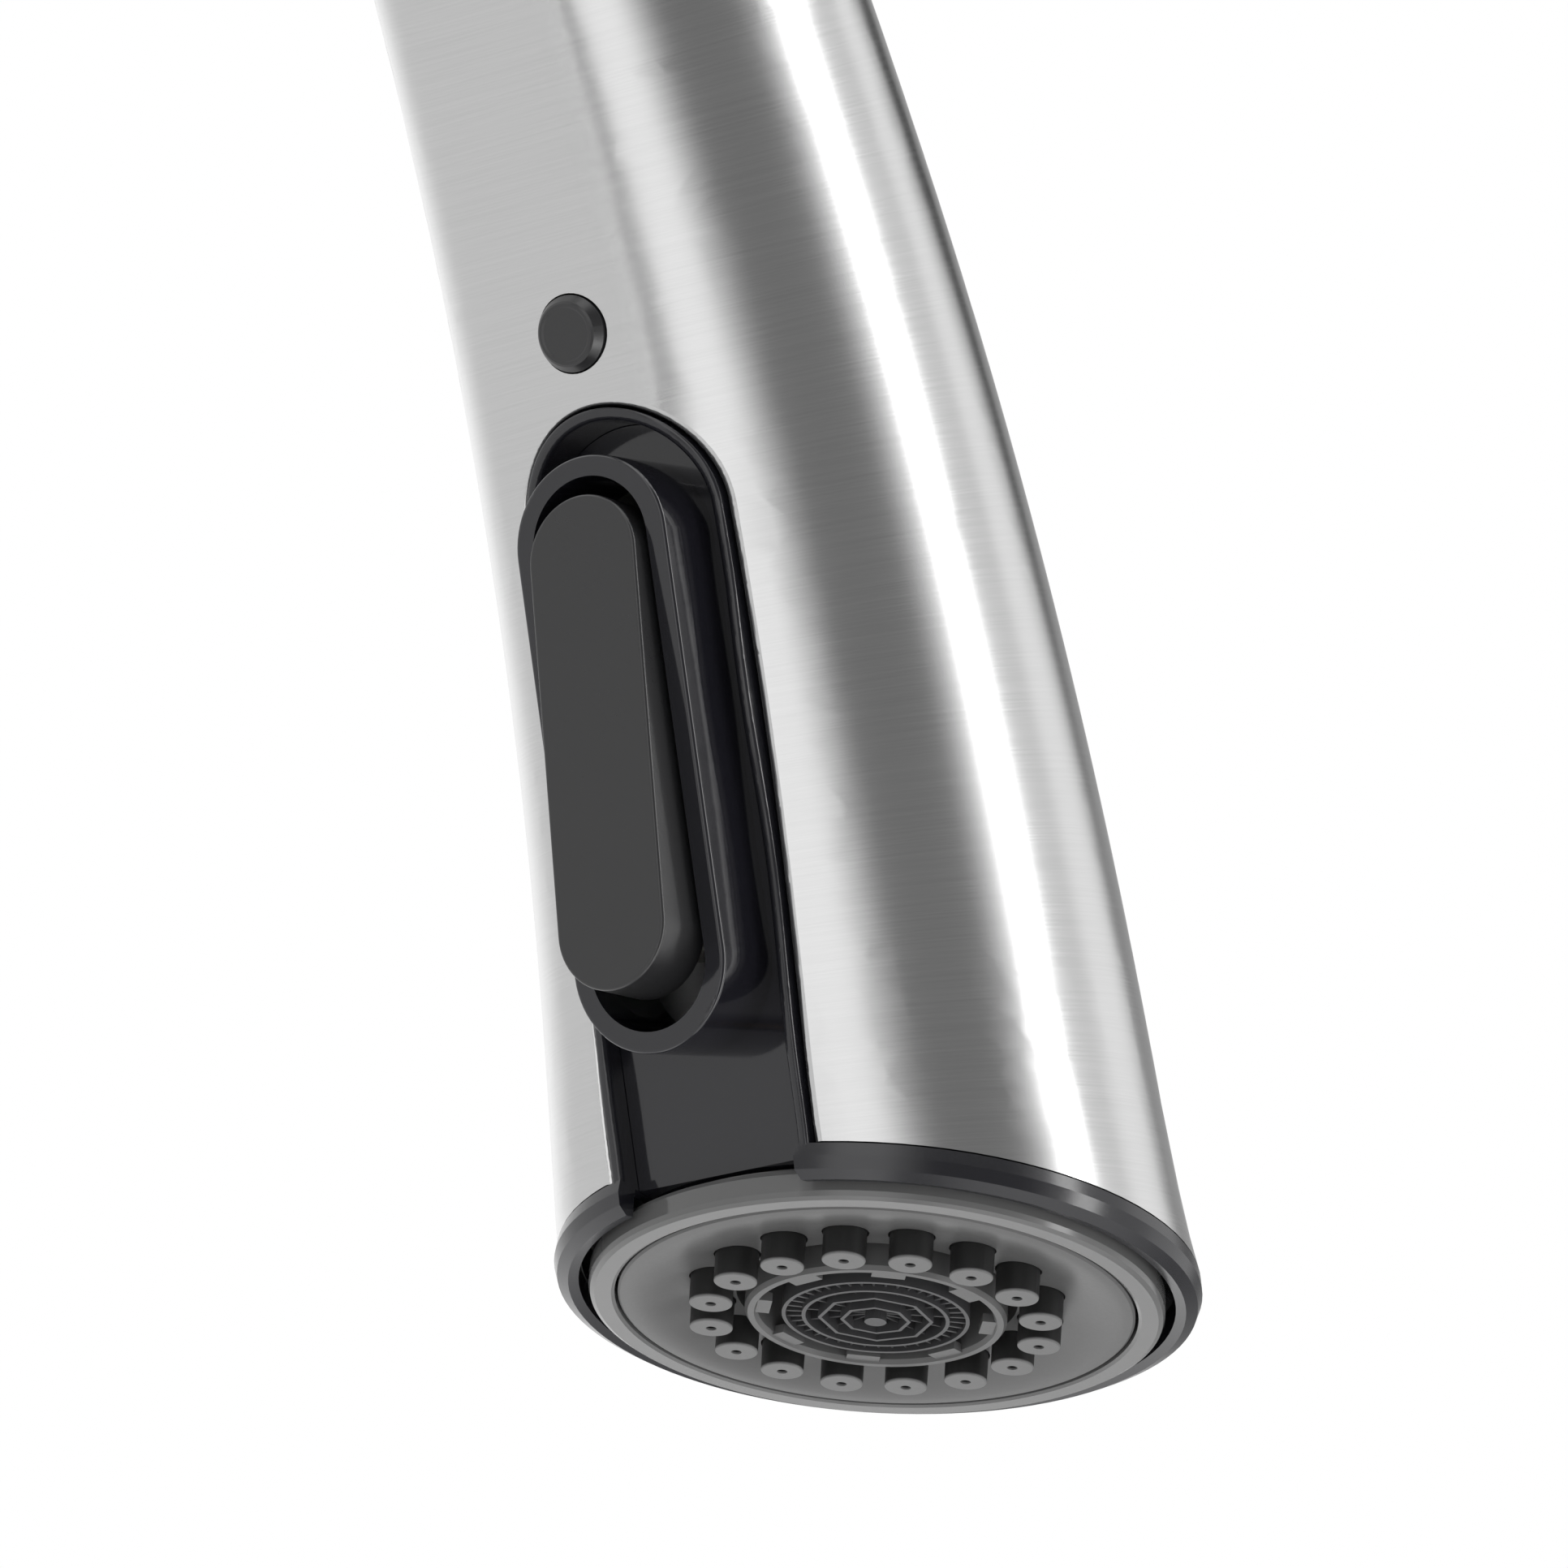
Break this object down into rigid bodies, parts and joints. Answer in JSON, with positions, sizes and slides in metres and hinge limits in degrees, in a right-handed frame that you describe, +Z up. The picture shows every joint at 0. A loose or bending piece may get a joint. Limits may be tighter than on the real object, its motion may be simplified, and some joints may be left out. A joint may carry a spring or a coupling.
{
  "type": "pull down kitchen faucet",
  "caption": "High-arc kitchen faucet with a curved, tapering pull-down spray head, rocker and pause buttons, swivelling spout and side lever.",
  "frame": {"origin": "centre of the base gasket where it rests on the deck", "axes": "+Z up out of the deck, -Y towards the spray head, +X towards the lever"},
  "size_m": [0.0953, 0.2888, 0.498],
  "materials": {
    "brushed_steel": "fine brushed stainless",
    "gloss_black": "glossy black plastic",
    "soft_black": "satin black plastic",
    "black_rubber": "black rubber",
    "face_grey": "satin grey plastic",
    "ring_grey": "satin-gloss grey plastic",
    "inner_plastic": "natural moulded plastic",
    "brass": "machined brass",
    "spring_steel": "drawn wire and turned steel",
    "hose_braid": "braided nylon sleeve",
    "magnet": "nickel-plated magnet",
    "zinc": "zinc-plated"
  },
  "bodies": {
    "base": {"body_shell": "brushed_steel", "valve_body": "brass", "post_orings": "black_rubber", "cartridge": "inner_plastic", "cartridge_seal": "black_rubber", "cartridge_nut": "brass", "valve_dome": "brushed_steel", "base_ring": "brushed_steel", "base_gasket": "black_rubber", "shank": "brass", "deck_washer": "black_rubber", "clamp_washer": "zinc", "mounting_nut": "brass", "jack_screws": "zinc", "supply_inlets": "zinc", "spray_outlet": "brass", "upper_guide_ring": "inner_plastic", "lower_glide_ring": "inner_plastic"},
    "spout": {"spout_tube": "brushed_steel", "spout_collar": "brushed_steel", "spout_foot": "brass", "swivel_stop": "spring_steel", "dock_sleeve": "soft_black", "dock_magnet": "magnet", "pull_hose": "hose_braid", "hose_plug": "brass"},
    "hose_end": {"hose_nut": "soft_black", "hose_nipple": "brass", "nipple_orings": "black_rubber"},
    "spray_head": {"head_shell": "brushed_steel", "head_trim": "soft_black", "button_panel": "gloss_black", "rocker_pin": "spring_steel", "diverter_barrel": "inner_plastic", "pause_guide": "inner_plastic", "waterway_core": "inner_plastic", "inlet_socket": "inner_plastic", "check_valve": "inner_plastic", "filter_washer": "black_rubber", "neck_bush": "soft_black", "dock_plate": "spring_steel", "face_ring": "ring_grey", "face_plate": "face_grey", "nozzle_mat": "black_rubber", "face_seal": "black_rubber", "aerator_housing": "face_grey", "aerator_insert": "soft_black", "pause_spring": "spring_steel"},
    "rocker": {"rocker_button": "soft_black"},
    "diverter": {"diverter_spool": "inner_plastic", "spool_orings": "black_rubber"},
    "pause": {"pause_button": "soft_black"},
    "temperature_carrier": {"cartridge_carrier": "inner_plastic", "lift_pin": "spring_steel"},
    "handle": {"cartridge_stem": "brass", "handle_hub": "brushed_steel", "handle_lever": "brushed_steel", "set_screw": "spring_steel", "index_plug": "black_rubber"}
  },
  "joints": [
    {"name": "spout_swivel", "type": "hinge", "parent": "base", "child": "spout", "pos_m": [0, 0, 0.104], "axis": [0, 0, 1], "range_deg": [-60, 60]},
    {"name": "head_pull", "type": "slide", "parent": "spout", "child": "hose_end", "axis": [0, -0.7486, -0.663], "range_m": [0, 0.15], "stiffness_N_per_m": 12, "springref_m": -0.6, "deforming": ["pull_hose"]},
    {"name": "head_twist", "type": "hinge", "parent": "hose_end", "child": "spray_head", "pos_m": [0, -0.1555, 0.3501], "axis": [0, 0.7486, 0.663], "range_deg": [-180, 180]},
    {"name": "rocker_tilt", "type": "hinge", "parent": "spray_head", "child": "rocker", "pos_m": [0, -0.2009, 0.25422], "axis": [-1, 0, 0], "range_deg": [0, 12]},
    {"name": "diverter_slide", "type": "slide", "parent": "spray_head", "child": "diverter", "axis": [0, 0.3518, 0.9361], "range_m": [0, 0.0017]},
    {"name": "pause_press", "type": "slide", "parent": "spray_head", "child": "pause", "axis": [0, -0.8729, 0.4879], "range_m": [0, 0.001], "stiffness_N_per_m": 400, "springref_m": -0.002, "deforming": ["pause_spring"]},
    {"name": "lever_turn", "type": "hinge", "parent": "base", "child": "temperature_carrier", "pos_m": [0.034, 0, 0.07], "axis": [1, 0, 0], "range_deg": [-45, 45]},
    {"name": "lever_lift", "type": "hinge", "parent": "temperature_carrier", "child": "handle", "pos_m": [0.034, 0, 0.07], "axis": [0, 1, 0], "range_deg": [0, 22]}
  ],
  "couplings": [
    {"joint": "diverter_slide", "follows": "rocker_tilt", "m_per_rad": 0.0075}
  ]
}
